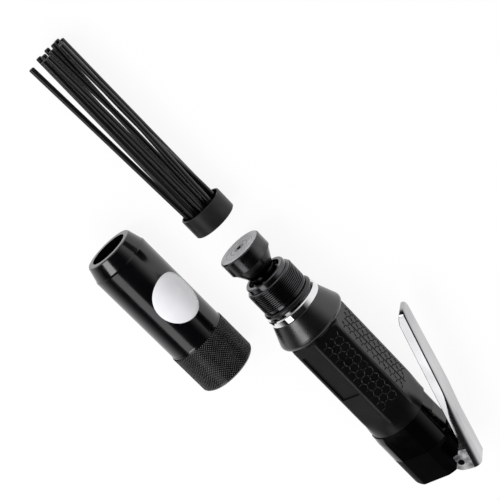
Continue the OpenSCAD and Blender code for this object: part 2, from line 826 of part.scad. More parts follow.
module needle_holder() {
    color([0.18, 0.18, 0.18]) at_set() difference() {
        turned([[0, x_holder_front], [holder_r - edge / 2, x_holder_front],
            [holder_r, x_holder_front + edge / 2],
            [holder_r, x_holder_rear - edge], [holder_r - edge, x_holder_rear], [0, x_holder_rear]]);
        bar(x_holder_front - cut, x_web_front, holder_r - cup_wall);
        for (i = [0:needle_count - 1]) rotate([needle_turn(i), 0, 0]) translate([0, needle_ring(i), 0]) {
            bar(x_web_front - cut, x_holder_rear + cut, needle_r + hole_play);
            bar(x_web_rear, x_holder_rear + cut, needle_head_r + head_play);
        }
    }
}

// One needle: it leans outwards in its hole about the middle of the holder's web
module needle(i) {
    x_head = x_web_rear - x_web_mid + head_play / 2;
    x_tip = x_head + head_len - needle_len;
    color([0.12, 0.12, 0.12]) at_set() rotate([needle_turn(i), 0, 0])
        translate([x_web_mid, needle_ring(i), 0]) rotate([0, 0, -needle_lean[i]]) turned([
            [0, x_tip], [needle_r - tip_break, x_tip], [needle_r, x_tip + tip_break], [needle_r, x_head],
            [needle_head_r, x_head], [needle_head_r, x_head + head_len], [0, x_head + head_len]]);
}

module front_tube() {
    x_rear_end = x_tube_front + tube_len;
    x_knurl = x_rear_end - knurl_len;
    color([0.1, 0.1, 0.1]) at_tube() difference() {
        turned([[0, x_tube_front], [nose_face_r - edge, x_tube_front], [nose_face_r, x_tube_front + edge],
            [tube_r - edge, x_tube_front + nose_taper_len - edge],
            [tube_r, x_tube_front + nose_taper_len + edge],
            [tube_r, x_knurl - edge], [knurl_r, x_knurl], [knurl_r, x_rear_end - knurl_edge],
            [knurl_r - knurl_edge, x_rear_end], [0, x_rear_end]]);
        bar(x_tube_front - cut, x_rear_end + cut, opening_r);
        bar(x_tube_front + opening_len, x_rear_end + cut, tube_bore_r);
        bar(x_rear_end - tube_socket_len, x_rear_end + cut, socket_r);
    }
}

barrel();
anvil_bush();
anvil_seal();
nose_seal();
lock_ring();
front_cap();
handle_tube();
grip_sleeve();
valve_case();
valve_seat();
valve_dowel();
valve_housing();
rear_block();
block_screws();
inlet_bushing();
inlet_screen();
throttle_bush();
throttle_plug();
plug_seal();
lever_pin();
lever();
throttle_stem();
throttle_seal();
throttle_spring();
piston();
anvil();
anvil_clip();
valve_disc();
needle_holder();
front_tube();
for (i = [0:needle_count - 1]) needle(i);
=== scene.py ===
import json
import math

import bmesh
import bpy
from mathutils import Matrix, Vector

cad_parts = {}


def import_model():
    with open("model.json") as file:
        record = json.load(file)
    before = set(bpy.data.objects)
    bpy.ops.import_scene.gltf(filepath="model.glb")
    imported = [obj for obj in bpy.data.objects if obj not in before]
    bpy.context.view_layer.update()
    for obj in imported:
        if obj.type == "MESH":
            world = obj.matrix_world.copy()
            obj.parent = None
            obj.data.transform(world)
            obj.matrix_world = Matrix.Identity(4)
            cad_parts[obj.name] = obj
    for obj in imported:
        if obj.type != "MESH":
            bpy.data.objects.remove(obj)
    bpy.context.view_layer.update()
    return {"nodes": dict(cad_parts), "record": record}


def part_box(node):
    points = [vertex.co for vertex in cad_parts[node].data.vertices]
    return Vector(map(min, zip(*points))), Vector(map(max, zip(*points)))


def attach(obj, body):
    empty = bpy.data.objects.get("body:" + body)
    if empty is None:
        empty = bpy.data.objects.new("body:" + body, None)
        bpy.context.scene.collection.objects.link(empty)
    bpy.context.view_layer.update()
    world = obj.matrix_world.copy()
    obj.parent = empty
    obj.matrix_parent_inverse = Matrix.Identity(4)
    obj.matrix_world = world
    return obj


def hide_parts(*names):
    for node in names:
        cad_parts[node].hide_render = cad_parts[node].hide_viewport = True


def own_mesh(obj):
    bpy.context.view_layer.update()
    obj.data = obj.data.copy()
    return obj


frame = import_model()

MM = 0.001
JOINTS = {joint["name"]: joint for joint in frame["record"]["behaviour"]["joints"]}


def node_box(name):
    """A node's lowest and highest corner in millimetres."""
    low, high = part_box(name)
    return [v / MM for v in low], [v / MM for v in high]


def node_middle(name):
    """The middle of a node's box in millimetres."""
    low, high = node_box(name)
    return [(a + b) / 2 for a, b in zip(low, high)]


# Main places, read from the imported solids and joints, in millimetres
ANVIL_LOW, ANVIL_HIGH = node_box("anvil")
GRIP_LOW, GRIP_HIGH = node_box("grip_sleeve")
X_FACE = ANVIL_LOW[0]
AXIS_Y = node_middle("front_cap")[1]
Z_BENCH = node_box("front_cap")[0][2]
HANDLE_R = node_box("handle_tube")[1][2]
TUBE_REAR_X = node_box("front_tube")[1][0]
TUBE_Y, TUBE_Z = node_middle("front_tube")[1:]
HOLDER_Y, HOLDER_Z = node_middle("needle_holder")[1:]
PIN_X, PIN_Y = [v / MM for v in JOINTS["lever_hinge"]["pos_m"]][:2]


# Materials

def new_material(name):
    """A new material with its node tree and its shader."""
    mat = bpy.data.materials.new(name)
    mat.use_nodes = True
    tree = mat.node_tree
    return mat, tree, tree.nodes["Principled BSDF"]


def noise(tree, scale, detail, stretch=(1.0, 1.0, 1.0)):
    """A noise in object space, with its own stretch along each axis."""
    coord = tree.nodes.new("ShaderNodeTexCoord")
    mapping = tree.nodes.new("ShaderNodeMapping")
    mapping.inputs["Scale"].default_value = stretch
    tex = tree.nodes.new("ShaderNodeTexNoise")
    tex.inputs["Scale"].default_value = scale
    tex.inputs["Detail"].default_value = detail
    tree.links.new(coord.outputs["Object"], mapping.inputs["Vector"])
    tree.links.new(mapping.outputs["Vector"], tex.inputs["Vector"])
    return tex.outputs["Fac"]


def rgba(value):
    """A colour or a grey value with full alpha."""
    colour = value if isinstance(value, tuple) else (value, value, value)
    return (*colour, 1.0)


def ramp(tree, source, low, high, span):
    """A ramp from one colour or grey value to another, over a span of its source."""
    node = tree.nodes.new("ShaderNodeValToRGB")
    for element, spot, value in zip(node.color_ramp.elements, span, (low, high)):
        element.position = spot
        element.color = rgba(value)
    tree.links.new(source, node.inputs["Fac"])
    return node


# Span of the noise over which the colour and the gloss change, and the detail of each noise
TINT_SPAN, GLOSS_SPAN = (0.35, 0.65), (0.3, 0.7)
TINT_DETAIL, GLOSS_DETAIL, GRAIN_DETAIL = 5.0, 6.0, 3.0
# The gloss changes over smaller patches than the colour
GLOSS_SCALE = 2.3
# Height of the fine grain in metres
GRAIN_HEIGHT = 0.0001


def surface(name, low, high, rough, metallic=0.0, specular=0.5, scale=60.0, stretch=(1.0, 1.0, 1.0),
            grain=None):
    """A material whose colour and gloss vary a little; grain is the strength and scale of a fine bump."""
    mat, tree, shader = new_material(name)
    shader.inputs["Metallic"].default_value = metallic
    shader.inputs["Specular IOR Level"].default_value = specular
    colour = ramp(tree, noise(tree, scale, TINT_DETAIL, stretch), low, high, TINT_SPAN)
    tree.links.new(colour.outputs["Color"], shader.inputs["Base Color"])
    smear = noise(tree, scale * GLOSS_SCALE, GLOSS_DETAIL, stretch)
    gloss = ramp(tree, smear, rough[0], rough[1], GLOSS_SPAN)
    tree.links.new(gloss.outputs["Color"], shader.inputs["Roughness"])
    if grain:
        bump = tree.nodes.new("ShaderNodeBump")
        bump.inputs["Strength"].default_value = grain[0]
        bump.inputs["Distance"].default_value = GRAIN_HEIGHT
        tree.links.new(noise(tree, grain[1], GRAIN_DETAIL), bump.inputs["Height"])
        tree.links.new(bump.outputs["Normal"], shader.inputs["Normal"])
    return mat


FINISHES = {
    "tube_black": dict(
        low=(0.0008, 0.0007, 0.0012), high=(0.0016, 0.0014, 0.0022), rough=(0.13, 0.18), specular=0.68),
    "knurl_black": dict(
        low=(0.003, 0.0028, 0.003), high=(0.006, 0.0056, 0.006), rough=(0.25, 0.35), specular=0.6,
        scale=90.0),
    # Lighter flat tips on the knurl's diamonds: painted glints
    "knurl_tip_glint": dict(
        low=(0.07, 0.067, 0.07), high=(0.13, 0.126, 0.13), rough=(0.3, 0.4), scale=300.0),
    "gloss_black": dict(
        low=(0.0006, 0.0006, 0.0006), high=(0.001, 0.001, 0.0011), rough=(0.06, 0.1), specular=0.2),
    "satin_black": dict(
        low=(0.001, 0.001, 0.0016), high=(0.002, 0.002, 0.0028), rough=(0.25, 0.31), specular=0.9),
    "block_black": dict(
        low=(0.0008, 0.0008, 0.0009), high=(0.0014, 0.0014, 0.0015), rough=(0.45, 0.55), specular=0.04),
    "grip_rubber": dict(
        low=(0.0006, 0.0006, 0.0009), high=(0.0013, 0.0013, 0.0017), rough=(0.3, 0.38), specular=0.4,
        grain=(0.06, 2200.0)),
    # Lighter rubber along the grip's ridges: a painted highlight
    "grip_ridge_highlight": dict(
        low=(0.007, 0.007, 0.0075), high=(0.014, 0.014, 0.0148), rough=(0.3, 0.38), specular=0.45),
    # Lighter rubber on the ribs beside the lever's panel: painted highlights on the cells' edges
    "grip_rib_highlight": dict(
        low=(0.004, 0.004, 0.005), high=(0.055, 0.055, 0.058), rough=(0.3, 0.42), specular=0.4,
        scale=620.0),
    # Dark matt rubber on the ribs of the lever's panel: painted shade in the grooves
    "grip_shade": dict(
        low=(0.005, 0.005, 0.0053), high=(0.03, 0.03, 0.031), rough=(0.6, 0.7), specular=0.0,
        scale=500.0),
    "seal_rubber": dict(
        low=(0.002, 0.002, 0.002), high=(0.004, 0.004, 0.004), rough=(0.24, 0.3), specular=0.6),
    "black_oxide": dict(
        low=(0.009, 0.0085, 0.0083), high=(0.015, 0.014, 0.0135), rough=(0.32, 0.42), specular=0.26,
        scale=90.0, grain=(0.05, 1800.0)),
    "needle_black": dict(
        low=(0.0012, 0.0012, 0.0014), high=(0.0026, 0.0026, 0.003), rough=(0.26, 0.33)),
    "blued_steel": dict(
        low=(0.085, 0.085, 0.09), high=(0.11, 0.11, 0.116), rough=(0.14, 0.2), metallic=1.0),
    # Lighter steel on the thread's crests: a painted highlight
    "thread_crest_highlight": dict(
        low=(0.07, 0.07, 0.074), high=(0.1, 0.1, 0.105), rough=(0.2, 0.28), metallic=1.0),
    # Darker steel on the thread's flanks: painted shade in the grooves
    "thread_flank_shade": dict(
        low=(0.01, 0.01, 0.011), high=(0.018, 0.018, 0.02), rough=(0.3, 0.4), metallic=1.0),
    "anvil_steel": dict(
        low=(0.056, 0.056, 0.058), high=(0.085, 0.085, 0.088), rough=(0.16, 0.26), metallic=1.0,
        scale=150.0),
    "machined_face": dict(
        low=(0.36, 0.36, 0.37), high=(0.5, 0.5, 0.51), rough=(0.38, 0.5), specular=0.4, scale=120.0,
        grain=(0.25, 1500.0)),
    "machined_dark": dict(
        low=(0.13, 0.13, 0.135), high=(0.24, 0.24, 0.245), rough=(0.4, 0.5), specular=0.3, scale=160.0),
    "plated_steel": dict(
        low=(0.4, 0.4, 0.41), high=(0.58, 0.58, 0.59), rough=(0.08, 0.16), metallic=1.0, scale=55.0,
        stretch=(0.4, 1.0, 1.0)),
    "bright_ring": dict(
        low=(0.8, 0.8, 0.81), high=(0.88, 0.88, 0.89), rough=(0.05, 0.09), metallic=1.0),
    "dull_steel": dict(
        low=(0.16, 0.16, 0.17), high=(0.7, 0.7, 0.71), rough=(0.28, 0.42), metallic=0.7, scale=260.0,
        grain=(0.2, 1500.0)),
    "inner_steel": dict(
        low=(0.32, 0.32, 0.33), high=(0.42, 0.42, 0.43), rough=(0.25, 0.38), metallic=1.0),
    "bronze": dict(
        low=(0.42, 0.26, 0.1), high=(0.52, 0.33, 0.14), rough=(0.3, 0.42), metallic=1.0),
    "black_screws": dict(
        low=(0.008, 0.008, 0.008), high=(0.016, 0.016, 0.016), rough=(0.3, 0.42), specular=0.4),
    "label_white": dict(
        low=(0.77, 0.77, 0.79), high=(0.82, 0.82, 0.84), rough=(0.3, 0.4), specular=0.3),
}
MATS = {name: surface(name, **finish) for name, finish in FINISHES.items()}

# Length of the anvil's ground head, the painted shade behind it, and half their blend as a share of the
# anvil
HEAD_LEN, HEAD_PAINTED_SHADE, HEAD_BLEND = 8.4, 0.35, 0.005
# Sockets of a Mix node that mixes colours
MIX_FACTOR, MIX_A, MIX_B, MIX_RESULT = 0, 6, 7, 2


def paint_shade_on_anvil():
    """Paint shade on the anvil behind its ground head: its cone and shank are darkened to stand for the
    dark reflections there.
    """
    tree = MATS["anvil_steel"].node_tree
    base = tree.nodes["Principled BSDF"].inputs["Base Color"]
    coord = tree.nodes.new("ShaderNodeTexCoord")
    split = tree.nodes.new("ShaderNodeSeparateXYZ")
    tree.links.new(coord.outputs["Generated"], split.inputs["Vector"])
    edge = HEAD_LEN / (ANVIL_HIGH[0] - ANVIL_LOW[0])
    # Painted shade: the base colour falls behind the head over a short blend
    zone = ramp(tree, split.outputs["X"], 1.0, HEAD_PAINTED_SHADE, (edge - HEAD_BLEND, edge + HEAD_BLEND))
    mix = tree.nodes.new("ShaderNodeMix")
    mix.data_type = "RGBA"
    mix.blend_type = "MULTIPLY"
    mix.inputs[MIX_FACTOR].default_value = 1.0
    tree.links.new(base.links[0].from_socket, mix.inputs[MIX_A])
    tree.links.new(zone.outputs["Color"], mix.inputs[MIX_B])
    tree.links.new(mix.outputs[MIX_RESULT], base)


paint_shade_on_anvil()

SLOT_OF = {row["node"]: row["material_slot"] for row in frame["record"]["subparts"]}
# Nodes that are blacker or brighter in the photograph than their slot
FINISH_OF = {
    "lever_pin": "block_black",
    "rear_block": "block_black",
    "throttle_bush": "black_oxide",
    "lock_ring": "bright_ring",
}

for name, obj in frame["nodes"].items():
    obj.data.materials.clear()
    obj.data.materials.append(MATS[FINISH_OF.get(name, SLOT_OF[name])])


# Mesh helpers

# Edges that turn by more than this are sharp
SHARP_TURN = math.radians(32)


def add_object(name, data):
    """A new object in the scene."""
    obj = bpy.data.objects.new(name, data)
    bpy.context.scene.collection.objects.link(obj)
    return obj


def new_mesh(name, verts, faces):
    """A new mesh from points in millimetres."""
    mesh = bpy.data.meshes.new(name)
    mesh.from_pydata([Vector(v) * MM for v in verts], [], faces)
    return mesh


def piece(name, verts, faces, finish, body, smooth=True):
    """A new piece from points in millimetres, riding on a body."""
    mesh = new_mesh(name, verts, faces)
    mesh.validate()
    mesh.update()
    mesh.materials.append(MATS[finish])
    for poly in mesh.polygons:
        poly.use_smooth = smooth
    obj = add_object(name, mesh)
    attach(obj, body)
    return obj


def second_finish(mesh, finish, chosen):
    """Give a mesh a second material, on the faces with the chosen indices."""
    mesh.materials.append(MATS[finish])
    for index in chosen:
        mesh.polygons[index].material_index = 1


def ring_point(x, r, angle, y0, z0):
    """A point round an axis along X; the angle is counted from +Y towards +Z."""
    return (x, y0 + r * math.cos(angle), z0 + r * math.sin(angle))


def bands(rings, sides, first=0, closed=False, flip=False):
    """Faces between rings of points, which are counted from a first point on."""
    faces = []
    for i in range(rings if closed else rings - 1):
        a, b = first + i * sides, first + (i + 1) % rings * sides
        for k in range(sides):
            n = (k + 1) % sides
            faces.append((a + k, b + k, b + n, a + n) if flip else (a + k, a + n, b + n, b + k))
    return faces


def end_caps(total, sides, flip=False):
    """Faces that close the first and the last ring of all points."""
    first, last = tuple(range(sides)), tuple(range(total - sides, total))
    return [first, last[::-1]] if flip else [first[::-1], last]


def spread(start, end, count):
    """Even steps from a start, which is left out, to an end."""
    return [start + (end - start) * k / count for k in range(1, count + 1)]


def smooth_step(share):
    """A share held between 0 and 1, with soft ends."""
    share = min(max(share, 0.0), 1.0)
    return share * share * (3 - 2 * share)


def cut_away(obj, cutter, finish):
    """Cut the cutter out of an object and remove it; the new mesh has one finish and is smooth."""
    for mesh in (obj.data, cutter.data):
        build = bmesh.new()
        build.from_mesh(mesh)
        bmesh.ops.recalc_face_normals(build, faces=build.faces)
        build.to_mesh(mesh)
        build.free()
    cut = obj.modifiers.new("cut", "BOOLEAN")
    cut.operation = "DIFFERENCE"
    cut.solver = "EXACT"
    cut.object = cutter
    bpy.context.view_layer.update()
    done = bpy.data.meshes.new_from_object(obj.evaluated_get(bpy.context.evaluated_depsgraph_get()))
    obj.modifiers.clear()
    obj.data = done
    bpy.data.objects.remove(cutter)
    done.materials.clear()
    done.materials.append(MATS[finish])
    for poly in done.polygons:
        poly.material_index = 0
        poly.use_smooth = True
    done.set_sharp_from_angle(angle=SHARP_TURN)
    return done


# Nose thread: one helical ridge on the barrel's root cylinder

THREAD_X0 = X_FACE + 22.3
THREAD_LEN, THREAD_PITCH = 12.9, 1.15
THREAD_ROOT, THREAD_CREST = 13.55, 14.2
# Half width of the ridge at its root and at its crest
THREAD_HALF, THREAD_FLAT = THREAD_PITCH * 0.46, THREAD_PITCH * 0.15
# Steps in a turn, and those over which the ridge starts and ends
THREAD_STEPS, THREAD_FADE = 72, 36


def nose_thread():
    steps = THREAD_LEN / THREAD_PITCH * THREAD_STEPS
    count = int(steps)
    verts = []
    for k in range(count + 1):
        fade = min(1.0, k / THREAD_FADE, (count - k) / THREAD_FADE)
        crest = THREAD_ROOT + (THREAD_CREST - THREAD_ROOT) * fade
        x = THREAD_X0 + THREAD_HALF + (THREAD_LEN - 2 * THREAD_HALF) * k / steps
        section = ((-THREAD_HALF, THREAD_ROOT), (-THREAD_FLAT, crest), (THREAD_FLAT, crest),
                   (THREAD_HALF, THREAD_ROOT))
        for dx, r in section:
            verts.append(ring_point(x + dx, r, 2 * math.pi * k / THREAD_STEPS, AXIS_Y, 0.0))
    faces = bands(count + 1, 4, flip=True) + end_caps(len(verts), 4, flip=True)
    # The flanks are painted darker, as shade in the grooves, and the crests lighter, as a painted
    # highlight
    obj = piece("nose_thread", verts, faces, "thread_flank_shade", "tool", smooth=False)
    second_finish(obj.data, "thread_crest_highlight", range(1, 4 * count, 4))


nose_thread()


# Knurl: raised diamonds round the rear band of the front tube

KNURL_X0, KNURL_X1 = TUBE_REAR_X - 26.4, TUBE_REAR_X - 1.2
KNURL_BASE, KNURL_TOP = 17.16, 17.6
# Diamonds round the tube, their width over their length, and the share of each that is its flat tip
KNURL_ROUND, KNURL_SLIM, KNURL_TIP = 84, 0.8, 0.4
# Faces of one diamond, of which the last is its tip
KNURL_FACES = 5


def knurl_band():
    step = 2 * math.pi / KNURL_ROUND
    rows = int((KNURL_X1 - KNURL_X0) / (KNURL_BASE * step) * KNURL_SLIM)
    dx = (KNURL_X1 - KNURL_X0) / rows
    verts, faces = [], []
    for row in range(2 * rows - 1):
        x = KNURL_X0 + dx * (row + 1) / 2
        for j in range(KNURL_ROUND):
            a = (j + 0.5 * (row % 2)) * step
            n = len(verts)
            for r, share in ((KNURL_BASE, 0.5), (KNURL_TOP, 0.5 * KNURL_TIP)):
                for u, v in ((-1, 0), (0, 1), (1, 0), (0, -1)):
                    verts.append(ring_point(x + u * dx * share, r, a + v * step * share, TUBE_Y, TUBE_Z))
            for k in range(4):
                m = (k + 1) % 4
                faces.append((n + m, n + k, n + 4 + k, n + 4 + m))
            faces.append((n + 7, n + 6, n + 5, n + 4))
    obj = piece("knurl_band", verts, faces, "knurl_black", "front_tube", smooth=False)
    # The diamonds' flat tips are painted lighter, as glints
    second_finish(obj.data, "knurl_tip_glint", range(KNURL_FACES - 1, len(faces), KNURL_FACES))


knurl_band()


# Blank round label on the tube, a disc laid on the curved wall

LABEL_R, TUBE_R = 14.0, 17.0
LABEL_X = X_FACE + 1.25
LABEL_TURN = math.radians(28.5)
# Height of the label over the wall, and of its rim, which is tucked in
LABEL_LIFT, LABEL_TUCK = 0.06, -0.02
LABEL_RINGS, LABEL_SPOKES = 10, 64


def label():
    verts = [ring_point(LABEL_X, TUBE_R + LABEL_LIFT, LABEL_TURN, TUBE_Y, TUBE_Z)]
    rings = [(LABEL_R * i / LABEL_RINGS, LABEL_LIFT) for i in range(1, LABEL_RINGS + 1)]
    rings.append((LABEL_R, LABEL_TUCK))
    for rad, lift in rings:
        for k in range(LABEL_SPOKES):
            t = 2 * math.pi * k / LABEL_SPOKES
            turn = LABEL_TURN + rad * math.sin(t) / TUBE_R
            verts.append(ring_point(LABEL_X + rad * math.cos(t), TUBE_R + lift, turn, TUBE_Y, TUBE_Z))
    faces = [(0, 1 + (k + 1) % LABEL_SPOKES, 1 + k) for k in range(LABEL_SPOKES)]
    faces += bands(len(rings), LABEL_SPOKES, first=1)
    piece("blank_label", verts, faces, "label_white", "front_tube")


label()


# Turned rings on the anvil's striking face

FACE_IN, FACE_OUT = 1.9, 11.9
# Radius of the first ring, and the rings' spacing and count
RING_R, RING_PITCH, RING_COUNT = 2.0, 0.32, 31
# Width of a ring's crest, and where the groove behind it is deepest
CREST_W, GROOVE_AT = 0.18, 0.24
# Height of the crests, of the shallow grooves and of the deep ones, and the gap to the solid's face
CREST_LIFT, SHALLOW_LIFT, DEEP_LIFT, FACE_GAP = 0.06, 0.05, 0.0, 0.01
DEEP_RINGS = (4, 5, 14, 24)
# Radii between which the face is darker
FACE_MARKS = ((1.0, 3.1), (5.2, 5.8), (8.4, 8.8))
FACE_SPOKES = 96


def anvil_face():
    profile = [(FACE_IN, 0.0)]
    for i in range(RING_COUNT):
        r = RING_R + RING_PITCH * i
        groove = DEEP_LIFT if i in DEEP_RINGS else SHALLOW_LIFT
        profile += [(r, CREST_LIFT), (r + CREST_W, CREST_LIFT), (r + GROOVE_AT, groove)]
    profile.append((FACE_OUT, 0.0))
    verts = []
    for r, lift in profile:
        for k in range(FACE_SPOKES):
            angle = 2 * math.pi * k / FACE_SPOKES
            verts.append(ring_point(X_FACE - lift - FACE_GAP, r, angle, AXIS_Y, 0.0))
    faces = bands(len(profile), FACE_SPOKES)
    obj = piece("anvil_face", verts, faces, "machined_face", "anvil")
    dark = []
    for i in range(len(profile) - 1):
        middle = (profile[i][0] + profile[i + 1][0]) / 2
        if any(low < middle < high for low, high in FACE_MARKS):
            dark += range(i * FACE_SPOKES, (i + 1) * FACE_SPOKES)
    second_finish(obj.data, "machined_dark", dark)


anvil_face()


# Panels of the grip, between ridges that are counted in degrees from the lever's side

RIDGES = (32.5, 81.0, 128.0, 180.0, 232.0, 279.0, 327.5)
CORNER_R = 19.45


def panel(first, last):
    """Turn of the panel between two ridges, and its distance from the axis."""
    half = math.radians((last - first) / 2)
    return math.radians((first + last) / 2), CORNER_R * math.cos(half)


def panel_point(turn, x, h, w):
    """A point over a panel, at a height from the axis and a place across the panel."""
    return (x, AXIS_Y + h * math.cos(turn) - w * math.sin(turn), h * math.sin(turn) + w * math.cos(turn))


PANELS = [panel(first, last) for first, last in zip(RIDGES, RIDGES[1:] + (RIDGES[0] + 360.0,))]


# Honeycomb of fine ribs moulded on the grip's panel at the lever and on the two beside it

CELL = 4.7
CELLS_X0, CELLS_X1, CELLS_LEAD = GRIP_LOW[0] + 6.3, GRIP_HIGH[0] - 15.0, 2.0
# Width of the slanted ribs, of those across the grip and of the slanted ones at the lever
RIB_W, RIB_W_CROSS, RIB_W_LEVER = 0.5, 0.3, 0.25
# Share of a cell's side that its rib takes
RIB_SHARE = 0.72
# Depth of a rib's root in the panel, height of its crest, and the crest's share of its width
RIB_SUNK, RIB_RISE, RIB_CREST = 0.05, 0.25, 0.6
# Half width of a net and the place of its middle row, on the side panels and at the lever
SIDE_HALF, SIDE_ROW = 6.4, 1.4
LEVER_HALF, LEVER_ROW = 8.4, 2.8
# Place of the groove along the lever's panel, and the room that the ribs leave for it
GROOVE_PLACE, GROOVE_ROOM = 0.8, 1.0


def grip_net(name, finish, ridges, half_width, row_at, rib_w, groove=None):
    """Ribs round hexagonal cells on the panel between two ridges, clear of a groove along it."""
    turn, flat = panel(*ridges)
    verts, faces = [], []

    def rib(x, w, angle, length, width):
        n = len(verts)
        ca, sa = math.cos(angle), math.sin(angle)
        for lift, share in ((-RIB_SUNK, 1.0), (RIB_RISE, RIB_CREST)):
            for u, v in ((-1, -1), (1, -1), (1, 1), (-1, 1)):
                du, dv = u * length / 2, v * width * share / 2
                across = w + du * sa + dv * ca
                verts.append(panel_point(turn, x + du * ca - dv * sa, flat + lift, across))
        faces.append((n + 4, n + 5, n + 6, n + 7))
        for k in range(4):
            m = (k + 1) % 4
            faces.append((n + k, n + m, n + 4 + m, n + 4 + k))

    pitch = CELL * math.sqrt(3) / 2
    rows = int(half_width / pitch) + 2
    columns = int((CELLS_X1 - CELLS_X0) / CELL)
    for row in range(-rows, rows + 1):
        for column in range(-1, columns + 1):
            for k in range(3):
                a = math.radians(60 * k)
                x = CELLS_X0 + (column + 0.5 * (row % 2)) * CELL + CELL / 2 * math.cos(a)
                w = row_at + row * pitch + CELL / 2 * math.sin(a)
                if abs(w) > half_width or not CELLS_X0 - CELLS_LEAD < x < CELLS_X1:
                    continue
                if groove is not None and abs(w - groove) < GROOVE_ROOM:
                    continue
                width = RIB_W_CROSS if k == 0 else rib_w
                rib(x, w, a + math.pi / 2, CELL / math.sqrt(3) * RIB_SHARE, width)
    if groove is not None:
        rib((CELLS_X0 + CELLS_X1) / 2, groove, 0.0, CELLS_X1 - CELLS_X0 + CELLS_LEAD, rib_w)
    piece(name, verts, faces, finish, "tool", smooth=False)


# The side nets get painted highlights on their ribs, and the lever's net gets painted shade
grip_net("grip_net_upper", "grip_rib_highlight", (RIDGES[0], RIDGES[1]), SIDE_HALF, SIDE_ROW, RIB_W)
grip_net("grip_net_lower", "grip_rib_highlight", (-RIDGES[1], -RIDGES[0]), SIDE_HALF, -SIDE_ROW, RIB_W)
grip_net("grip_net_lever", "grip_shade", (-RIDGES[0], RIDGES[0]), LEVER_HALF, LEVER_ROW, RIB_W_LEVER,
         groove=GROOVE_PLACE)


# Grip skin: soft ridges, full panels at the cap, and a round end with a flat at the lever's side

# Power of the blend that rounds the ridges
SKIN_SOFT = 60.0
SKIN_LEN = GRIP_HIGH[0] - GRIP_LOW[0]
# Radius at the front edge, radius and flat of the rear end, and the length that leads to it
SKIN_FRONT_R, SKIN_END_R, SKIN_END_FLAT, SKIN_RUNOUT = 18.0, 18.6, 17.3, 14.0
# Broken rear edge, and the gap to the pieces beside the skin
SKIN_EDGE, SKIN_GAP = 0.3, 0.02
# Stations at the front edge, their spacing along the panels and in the run-out, and the points round
EDGE_STATIONS, PANEL_STEP, RUNOUT_STEP, SKIN_SIDES = (0.0, 0.6, 1.3), 3.0, 1.0, 360
# Ridges with a painted highlight: half their width in degrees, and the radius from which they are painted
# lighter
RIDGE_HIGHLIGHT_TURN, RIDGE_HIGHLIGHT_R = 2.0, 18.7
# Sunk plates: start behind the grip's front, length, width, depth, and the cutter's height over the panel
PLATE_BACK, PLATE_LEN, PLATE_W, PLATE_DEPTH, PLATE_OVER = 5.5, 33, 12, 0.8, 4


def soft_least(terms):
    """Rounded least of distances, given as their inverses."""
    return sum(max(t, 0.0) ** SKIN_SOFT for t in terms) ** (-1 / SKIN_SOFT)


def skin_radius(angle, x):
    """Radius of the grip's skin at an angle and at a distance behind its front end."""
    panels = soft_least([math.cos(angle - turn) / flat for turn, flat in PANELS])
    end = soft_least((1 / SKIN_END_R, math.cos(angle) / SKIN_END_FLAT))
    share = smooth_step((x - SKIN_LEN) / SKIN_RUNOUT + 1)
    return min(panels + (end - panels) * share, SKIN_FRONT_R + x)


def plate_cutter():
    """Two plain blocks that sink the plates into the panels and are then taken away."""
    turn, flat = PANELS[1]
    x0 = GRIP_LOW[0] + PLATE_BACK
    low, high, half = flat - PLATE_DEPTH, flat + PLATE_OVER, PLATE_W / 2
    verts, faces = [], []
    for side in (-1, 1):
        n = len(verts)
        for x in (x0, x0 + PLATE_LEN):
            for h, w in ((low, -half), (high, -half), (high, half), (low, half)):
                verts.append(panel_point(side * turn, x, h, w))
        faces += [(n, n + 1, n + 2, n + 3), (n + 7, n + 6, n + 5, n + 4)]
        faces += bands(2, 4, first=n, flip=True)
    return add_object("plate_cutter", new_mesh("plate_cutter", verts, faces))


def on_highlit_ridge(at):
    """Whether a point lies on a ridge that gets the painted highlight, in front of the middle of the
    run-out.
    """
    turn = math.degrees(math.atan2(at.z, at.y - AXIS_Y)) % 360
    ridge = min(abs(turn - r) for r in RIDGES) < RIDGE_HIGHLIGHT_TURN and math.hypot(at.y - AXIS_Y, at.z) > RIDGE_HIGHLIGHT_R
    return ridge and at.x < GRIP_HIGH[0] - SKIN_RUNOUT / 2


def grip_skin():
    runout = SKIN_LEN - SKIN_RUNOUT
    stations = list(EDGE_STATIONS)
    stations += [PANEL_STEP * k for k in range(1, int(runout / PANEL_STEP) + 1)]
    stations += [runout + RUNOUT_STEP * k for k in range(int(SKIN_RUNOUT / RUNOUT_STEP))]
    stations.append(SKIN_LEN - SKIN_EDGE)
    turns = [2 * math.pi * k / SKIN_SIDES for k in range(SKIN_SIDES)]
    loops = [[(x, skin_radius(turn, x)) for turn in turns] for x in stations]
    loops.append([(SKIN_LEN - SKIN_GAP, r - SKIN_EDGE) for _, r in loops[-1]])
    loops.append([(SKIN_LEN - SKIN_GAP, HANDLE_R + SKIN_GAP)] * SKIN_SIDES)
    loops.append([(0.0, HANDLE_R + SKIN_GAP)] * SKIN_SIDES)
    verts = []
    for loop in loops:
        for turn, (x, r) in zip(turns, loop):
            verts.append(ring_point(GRIP_LOW[0] + x, r, turn, AXIS_Y, 0.0))
    faces = bands(len(loops), SKIN_SIDES, closed=True)
    obj = piece("grip_skin", verts, faces, "grip_rubber", "tool")
    mesh = cut_away(obj, plate_cutter(), "grip_rubber")
    # Faces on the ridges get the lighter rubber: a painted highlight along each ridge
    highlit_faces = [poly.index for poly in mesh.polygons if on_highlit_ridge(poly.center / MM)]
    second_finish(mesh, "grip_ridge_highlight", highlit_faces)
    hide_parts("grip_sleeve")


grip_skin()


# Lever: the pressed channel with its round bends, on the pin's axis and at its rest angle

